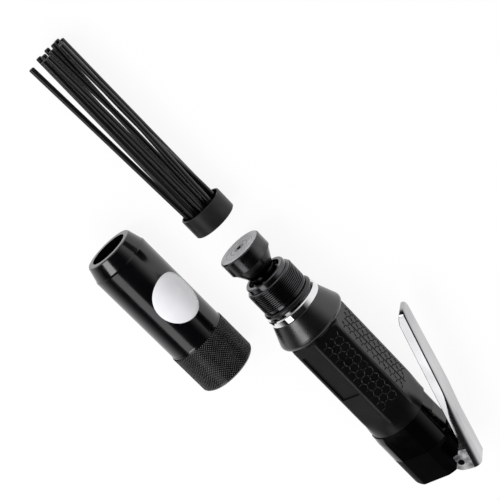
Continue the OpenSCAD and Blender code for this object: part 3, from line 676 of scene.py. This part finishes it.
LEVER_REST = math.radians(15.2)
COS_REST, SIN_REST = math.cos(LEVER_REST), math.sin(LEVER_REST)
LEVER_LEN, LEVER_RISE, LEVER_DEPTH, LEVER_SHEET = 100.0, 9.5, 5.6, 1.5
LEVER_W, LEVER_NOSE_W, EAR_R = 18.0, 12.0, 5.5
# Stations are counted from the pin: here the taper starts, and the walls start to deepen to the ears
TAPER_X, EAR_RUN_X = -3 * EAR_R, -2.5 * EAR_R
# Width and height of the bend between web and wall, at the front and at the rear
BEND_FRONT, BEND_REAR = (1.6, 1.2), (4.5, 4.9)
# Station from which the bend grows to the rear, and the length that it takes
BEND_GROW_X, BEND_GROW_LEN = -48.0, 26.0
# Broken edge of the wall, least inner bend, and the short straight run beside a bend
LIP, BEND_LEAST, BEND_RUN = 0.3, 0.2, 0.1
# Length over which the wall runs out at the nose, the wall that is left there, and the run-out's power
NOSE_RUN, NOSE_WALL, NOSE_POWER = 9.0, 2.0, 1.4
# Steps of the ear's half turn, of the run to it, of the side, of the nose's half turn and of a bend
EAR_STEPS, EAR_RUN_STEPS, SIDE_STEPS, NOSE_STEPS, BEND_STEPS = 12, 10, 30, 24, 8
PIN_HOLE_R, PIN_CUT_LEN, PIN_CUT_SIDES = 1.85, 40, 40
# Points nearer than this are joined, in metres
WELD = 0.00001
# The ears' flat sides are dull behind this station, where a face points sideways by at least this
DULL_X, DULL_SIDE = -1.4 * EAR_R, 0.97


def lever_low(x):
    """Lower edge of the lever's wall at a station, with the ear round about the pin."""
    if x < EAR_RUN_X:
        share = min(max((NOSE_RUN - LEVER_LEN - x) / NOSE_RUN, 0.0), 1.0)
        return LEVER_RISE - LEVER_DEPTH + (LEVER_DEPTH - NOSE_WALL) * share ** NOSE_POWER
    if x < -EAR_R:
        share = (x - EAR_RUN_X) / (-EAR_R - EAR_RUN_X)
        return (LEVER_RISE - LEVER_DEPTH) * (1 - share)
    return -math.sqrt(max(EAR_R ** 2 - x ** 2, 0.0))


def lever_bend(x):
    """Width and height of the bend at a station: sharp in front, crowned at the rear."""
    share = smooth_step((x - BEND_GROW_X) / BEND_GROW_LEN)
    return [front + (rear - front) * share for front, rear in zip(BEND_FRONT, BEND_REAR)]


def lever_outline():
    """Places round the outline: point, inward direction, depth to the middle and station."""
    nose, rear = LEVER_NOSE_W / 2, LEVER_W / 2
    x_nose = -LEVER_LEN + nose
    taper = math.atan((rear - nose) / (TAPER_X - x_nose))
    stations = [EAR_R * math.cos(math.pi * k / EAR_STEPS) for k in range(EAR_STEPS + 1)]
    stations += spread(-EAR_R, EAR_RUN_X, EAR_RUN_STEPS)
    stations += spread(EAR_RUN_X, x_nose, SIDE_STEPS)
    side = []
    for x in stations:
        lean = taper if x < TAPER_X else 0.0
        half = rear + min(x - TAPER_X, 0.0) * math.tan(taper)
        side.append(((x, half), (math.sin(lean), -math.cos(lean)), half / math.cos(lean), x))
    bow = []
    for k in range(1, NOSE_STEPS):
        turn = math.pi / 2 + math.pi * k / NOSE_STEPS
        ahead, across = math.cos(turn), math.sin(turn)
        x = x_nose + nose * ahead
        bow.append(((x, nose * across), (-ahead, -across), nose, x))
    back = [((p[0], -p[1]), (n[0], -n[1]), depth, x) for p, n, depth, x in reversed(side)]
    return side + bow + back


def lever_profile(middle, x):
    """Section of the sheet from the middle of the web, over the bend, down the wall and back inside."""
    arc = [math.pi / 2 * k / BEND_STEPS for k in range(BEND_STEPS + 1)]
    low = lever_low(x)
    wide, high = lever_bend(x)
    in_wide, in_high = max(wide - LEVER_SHEET, BEND_LEAST), max(high - LEVER_SHEET, BEND_LEAST)
    in_top = LEVER_RISE - LEVER_SHEET
    points = [(middle, LEVER_RISE), (min(wide + BEND_RUN, middle), LEVER_RISE)]
    points += [(wide - wide * math.sin(a), LEVER_RISE - high + high * math.cos(a)) for a in arc]
    points += [(0.0, LEVER_RISE - high - BEND_RUN), (0.0, low + LIP + BEND_RUN), (0.0, low + LIP)]
    points += [(LIP, low), (LEVER_SHEET - LIP, low), (LEVER_SHEET, low + LIP)]
    for a in arc:
        inside = LEVER_SHEET + in_wide - in_wide * math.cos(a)
        points.append((inside, in_top - in_high + in_high * math.sin(a)))
    points += [((middle + wide) / 2, in_top), (middle, in_top)]
    return points


def pin_cutter():
    """A plain rod through both ears that cuts their holes and is then taken away."""
    mesh = bpy.data.meshes.new("pin_cutter")
    build = bmesh.new()
    bmesh.ops.create_cone(build, cap_ends=True, segments=PIN_CUT_SIDES, radius1=PIN_HOLE_R * MM,
                          radius2=PIN_HOLE_R * MM, depth=PIN_CUT_LEN * MM)
    bmesh.ops.translate(build, verts=build.verts, vec=Vector((PIN_X, PIN_Y, 0)) * MM)
    build.to_mesh(mesh)
    build.free()
    return add_object("pin_cutter", mesh)


def weld(mesh):
    """Join points that fall together, and drop what has no size."""
    build = bmesh.new()
    build.from_mesh(mesh)
    bmesh.ops.remove_doubles(build, verts=build.verts, dist=WELD)
    bmesh.ops.dissolve_degenerate(build, edges=build.edges, dist=WELD / 2)
    build.to_mesh(mesh)
    build.free()


def on_ear(poly):
    """Whether a face lies on the flat side of an ear."""
    at = poly.center / MM
    station = (at.x - PIN_X) * COS_REST - (at.y - PIN_Y) * SIN_REST
    return station > DULL_X and abs(poly.normal.z) > DULL_SIDE


def lever():
    verts = []
    rows = lever_outline()
    for point, inward, middle, station in rows:
        for depth, y in lever_profile(middle, station):
            x, z = point[0] + inward[0] * depth, point[1] + inward[1] * depth
            verts.append((PIN_X + x * COS_REST + y * SIN_REST, PIN_Y - x * SIN_REST + y * COS_REST, z))
    count = len(verts) // len(rows)
    faces = []
    for i in range(len(rows) - 1):
        a, b = i * count, (i + 1) * count
        faces += [(a + j, a + j + 1, b + j + 1, b + j) for j in range(count - 1)]
    faces += end_caps(len(verts), count, flip=True)
    obj = piece("lever_sheet", verts, faces, "plated_steel", "lever")
    weld(obj.data)
    mesh = cut_away(obj, pin_cutter(), "plated_steel")
    second_finish(mesh, "dull_steel", [poly.index for poly in mesh.polygons if on_ear(poly)])
    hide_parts("lever")


lever()


# Needles: rods a little bowed from use, each on its own body, straight inside the holder

NEEDLE_R, NEEDLE_HEAD_R, NEEDLE_HEAD_LEN, NEEDLE_LEN = 1.5, 2.3, 2.6, 120.0
HEAD_EDGE, TIP_BREAK = 0.2, 0.4
NEEDLE_STEPS, NEEDLE_SIDES = 24, 24
# Middle of the holder's web, and the head's seat and the start of the bow from there
WEB_MID_X, NEEDLE_HEAD_X, BOW_FROM = X_FACE - 22.1, 3.05, -4.4
# Radius, first angle and count of the two rings of holes
NEEDLE_RINGS = ((8.6, 106.0, 9), (3.3, 29.0, 3))
# The bows lie across the photograph's view, at this angle from +Y towards +Z
BOW_TURN = math.radians(-30.5)
# How far the tip and the middle of a needle stand off its straight line
NEEDLE_BOWS = {4: (1.3, -0.3), 5: (2.0, 1.7), 7: (-0.6, -1.5), 8: (0.5, 0.9), 9: (-1.8, 0.0),
               10: (-1.1, 0.7), 12: (1.6, -0.4)}
# How much each needle's tip is worn back
NEEDLE_WORN = (2.1, 1.0, 0.0, 0.0, 0.2, 1.2, 1.6, 2.0, 1.9, 1.2, 0.4, 0.0)


def needle_rod(number, ring_r, turn):
    """One needle, from its head in the holder to its worn tip, along its own slide's axis."""
    body = "needle_%02d" % number
    head = Vector(ring_point(WEB_MID_X, ring_r, turn, HOLDER_Y, HOLDER_Z))
    along = Vector(JOINTS[body + "_slide"]["axis"])
    across = Vector((0.0, math.cos(BOW_TURN), math.sin(BOW_TURN)))
    tip, middle = NEEDLE_BOWS.get(number, (0.0, 0.0))
    rear = NEEDLE_HEAD_X + NEEDLE_HEAD_LEN
    front = rear - NEEDLE_LEN
    end = front + NEEDLE_WORN[number - 1]

    def centre(x):
        share = max((x - BOW_FROM) / (front - BOW_FROM), 0.0)
        off = tip * share ** 2 + middle * math.sin(math.pi * min(share, 1.0)) ** 2
        return head + along * x + across * off

    stations = [(rear, NEEDLE_HEAD_R - HEAD_EDGE), (rear - HEAD_EDGE, NEEDLE_HEAD_R)]
    stations += [(NEEDLE_HEAD_X, NEEDLE_HEAD_R), (NEEDLE_HEAD_X, NEEDLE_R), (BOW_FROM, NEEDLE_R)]
    stations += [(x, NEEDLE_R) for x in spread(BOW_FROM, end + TIP_BREAK, NEEDLE_STEPS)]
    stations.append((end, NEEDLE_R - TIP_BREAK))
    verts = []
    for x, r in stations:
        at = centre(x)
        for k in range(NEEDLE_SIDES):
            verts.append(ring_point(at.x, r, 2 * math.pi * k / NEEDLE_SIDES, at.y, at.z))
    faces = bands(len(stations), NEEDLE_SIDES) + end_caps(len(verts), NEEDLE_SIDES)
    obj = piece("needle_rod_%02d" % number, verts, faces, "needle_black", body)
    obj.data.set_sharp_from_angle(angle=SHARP_TURN)
    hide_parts(body)


HOLES = [(ring_r, first + 360 * k / count) for ring_r, first, count in NEEDLE_RINGS for k in range(count)]
for number, (ring_r, turn) in enumerate(HOLES, start=1):
    needle_rod(number, ring_r, math.radians(turn))


# Throttle spring: a coil standing on the plug

COIL_WIRE, COIL_R, COIL_TURNS = 0.35, 2.6, 4
# Share of the wire in each end turn, and the slope there against an even helix
COIL_END, COIL_FLAT = 0.15, 0.7
# Steps in a turn, and points round the wire
COIL_STEPS, COIL_SIDES = 24, 10


def coil_rise(share):
    """Share of the coil's height that is reached at a share of its wire."""
    if share < COIL_END:
        return share * COIL_FLAT
    if share > 1 - COIL_END:
        return 1 - (1 - share) * COIL_FLAT
    slope = (1 - 2 * COIL_END * COIL_FLAT) / (1 - 2 * COIL_END)
    return COIL_END * COIL_FLAT + (share - COIL_END) * slope


def throttle_coil():
    low, high = node_box("throttle_spring")
    x0, _, z0 = node_middle("throttle_spring")
    tall = high[1] - low[1]
    steps = COIL_TURNS * COIL_STEPS
    verts = []
    for k in range(steps + 1):
        a = 2 * math.pi * k / COIL_STEPS
        y = low[1] + COIL_WIRE + (tall - 2 * COIL_WIRE) * coil_rise(k / steps)
        for j in range(COIL_SIDES):
            b = 2 * math.pi * j / COIL_SIDES
            r = COIL_R + COIL_WIRE * math.cos(b)
            verts.append((x0 + r * math.cos(a), y + COIL_WIRE * math.sin(b), z0 + r * math.sin(a)))
    faces = bands(steps + 1, COIL_SIDES, flip=True) + end_caps(len(verts), COIL_SIDES, flip=True)
    obj = piece("throttle_coil", verts, faces, "inner_steel", "tool")
    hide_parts("throttle_spring")
    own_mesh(obj)


throttle_coil()


# Floor and backdrop: one pale sheet that keeps the object's shadow

# Half the floor's side in metres, its grey, its roughness, and the share of plain white that is seen
FLOOR_HALF, FLOOR_GREY, FLOOR_ROUGH, FLOOR_WHITE = 1.6, 0.86, 0.9, 0.9


def seen_directly(tree):
    """One for rays of the camera, mirrors and glass."""
    path = tree.nodes.new("ShaderNodeLightPath")
    first = tree.nodes.new("ShaderNodeMath")
    first.operation = "MAXIMUM"
    second = tree.nodes.new("ShaderNodeMath")
    second.operation = "MAXIMUM"
    tree.links.new(path.outputs["Is Camera Ray"], first.inputs[0])
    tree.links.new(path.outputs["Is Glossy Ray"], first.inputs[1])
    tree.links.new(first.outputs["Value"], second.inputs[0])
    tree.links.new(path.outputs["Is Transmission Ray"], second.inputs[1])
    return second.outputs["Value"]


def floor():
    half, z = FLOOR_HALF, Z_BENCH * MM
    corners = [(-half, -half, z), (half, -half, z), (half, half, z), (-half, half, z)]
    mesh = bpy.data.meshes.new("floor")
    mesh.from_pydata(corners, [], [(0, 1, 2, 3)])
    mat, tree, shader = new_material("pale_floor")
    shader.inputs["Base Color"].default_value = rgba(FLOOR_GREY)
    shader.inputs["Roughness"].default_value = FLOOR_ROUGH
    shader.inputs["Specular IOR Level"].default_value = 0.0
    glow = tree.nodes.new("ShaderNodeEmission")
    glow.inputs["Strength"].default_value = 1.0
    weight = tree.nodes.new("ShaderNodeMath")
    weight.operation = "MULTIPLY"
    weight.inputs[1].default_value = FLOOR_WHITE
    mix = tree.nodes.new("ShaderNodeMixShader")
    tree.links.new(seen_directly(tree), weight.inputs[0])
    tree.links.new(weight.outputs["Value"], mix.inputs["Fac"])
    tree.links.new(shader.outputs["BSDF"], mix.inputs[1])
    tree.links.new(glow.outputs["Emission"], mix.inputs[2])
    tree.links.new(mix.outputs["Shader"], tree.nodes["Material Output"].inputs["Surface"])
    mesh.materials.append(mat)
    add_object("floor", mesh)


floor()


# World: a white backdrop all round under a dark ceiling, with an even grey light for matt surfaces

AMBIENT = (0.95, 0.95, 0.96)
# Middle of the dark ceiling, all but straight up
CEILING = (0.0, 0.02, 0.9998)
# Levels that mirrors see, from the backdrop to the ceiling, each by its height
LOW_SPOT, LOW_LEVEL, HIGH_SPOT, HIGH_LEVEL = 0.1, 0.9, 0.61, 0.01
MIDDLE_LEVELS = ((0.28, 0.55), (0.44, 0.2))


def world():
    studio = bpy.data.worlds.new("studio")
    bpy.context.scene.world = studio
    studio.use_nodes = True
    tree = studio.node_tree
    back = tree.nodes["Background"]
    back.inputs["Color"].default_value = rgba(AMBIENT)
    coord = tree.nodes.new("ShaderNodeTexCoord")
    height = tree.nodes.new("ShaderNodeVectorMath")
    height.operation = "DOT_PRODUCT"
    height.inputs[1].default_value = CEILING
    tree.links.new(coord.outputs["Generated"], height.inputs[0])
    zones = ramp(tree, height.outputs["Value"], LOW_LEVEL, HIGH_LEVEL, (LOW_SPOT, HIGH_SPOT))
    for spot, level in MIDDLE_LEVELS:
        zones.color_ramp.elements.new(spot).color = rgba(level)
    path = tree.nodes.new("ShaderNodeLightPath")
    pick = tree.nodes.new("ShaderNodeMix")
    pick.data_type = "RGBA"
    pick.inputs[MIX_B].default_value = rgba(1.0)
    tree.links.new(path.outputs["Is Camera Ray"], pick.inputs[MIX_FACTOR])
    tree.links.new(zones.outputs["Color"], pick.inputs[MIX_A])
    white = tree.nodes.new("ShaderNodeBackground")
    tree.links.new(pick.outputs[MIX_RESULT], white.inputs["Color"])
    mix = tree.nodes.new("ShaderNodeMixShader")
    tree.links.new(seen_directly(tree), mix.inputs["Fac"])
    tree.links.new(back.outputs["Background"], mix.inputs[1])
    tree.links.new(white.outputs["Background"], mix.inputs[2])
    tree.links.new(mix.outputs["Shader"], tree.nodes["World Output"].inputs["Surface"])


world()


# Camera at the photograph's view, for a square frame

TILT, TURN, ROLL = math.radians(17.0), math.radians(45.9), math.radians(30.0)
# Where the anvil's face lies to the right of the view's middle, below it and ahead of the camera
FACE_AT = Vector((-5.6, -1.1, 660.0))
LENS, SENSOR = 93.6, 36.0
# Nearest distance that is drawn, in metres
CLIP = 0.01


def camera():
    along = Vector((1, 0, 0))
    up = Vector((0, math.sin(ROLL), math.cos(ROLL)))
    across = Vector((0, math.cos(ROLL), -math.sin(ROLL)))
    level = math.cos(TILT) * along + math.sin(TILT) * up
    right = math.cos(TURN) * level + math.sin(TURN) * across
    down = math.sin(TURN) * level - math.cos(TURN) * across
    ahead = math.sin(TILT) * along - math.cos(TILT) * up
    face = Vector((X_FACE, AXIS_Y, 0.0))
    centre = face - (right * FACE_AT.x + down * FACE_AT.y + ahead * FACE_AT.z)
    data = bpy.data.cameras.new("camera")
    data.sensor_width = SENSOR
    data.lens = LENS
    data.clip_start = CLIP
    obj = add_object("camera", data)
    turn = Matrix((right, -down, -ahead)).transposed().to_4x4()
    obj.matrix_world = Matrix.Translation(centre * MM) @ turn
    bpy.context.scene.camera = obj


camera()


# Softboxes overhead on the tube's side, seen in the tops of the round pieces and in the lever's upper wall

SOFTBOX_Z = 580.0


def softbox(name, x, y, strength):
    """A level area lamp facing down over a range of x and of y, in millimetres and watts."""
    data = bpy.data.lights.new(name, "AREA")
    data.shape = "RECTANGLE"
    data.size = (x[1] - x[0]) * MM
    data.size_y = (y[1] - y[0]) * MM
    data.energy = strength
    obj = add_object(name, data)
    obj.location = Vector((sum(x) / 2, sum(y) / 2, SOFTBOX_Z)) * MM
    obj.visible_camera = False


softbox("key", (-260.0, 285.0), (-420.0, -90.0), 0.94)
softbox("front", (-415.0, -265.0), (-360.0, -70.0), 0.8)

bpy.context.scene.view_settings.view_transform = "Standard"
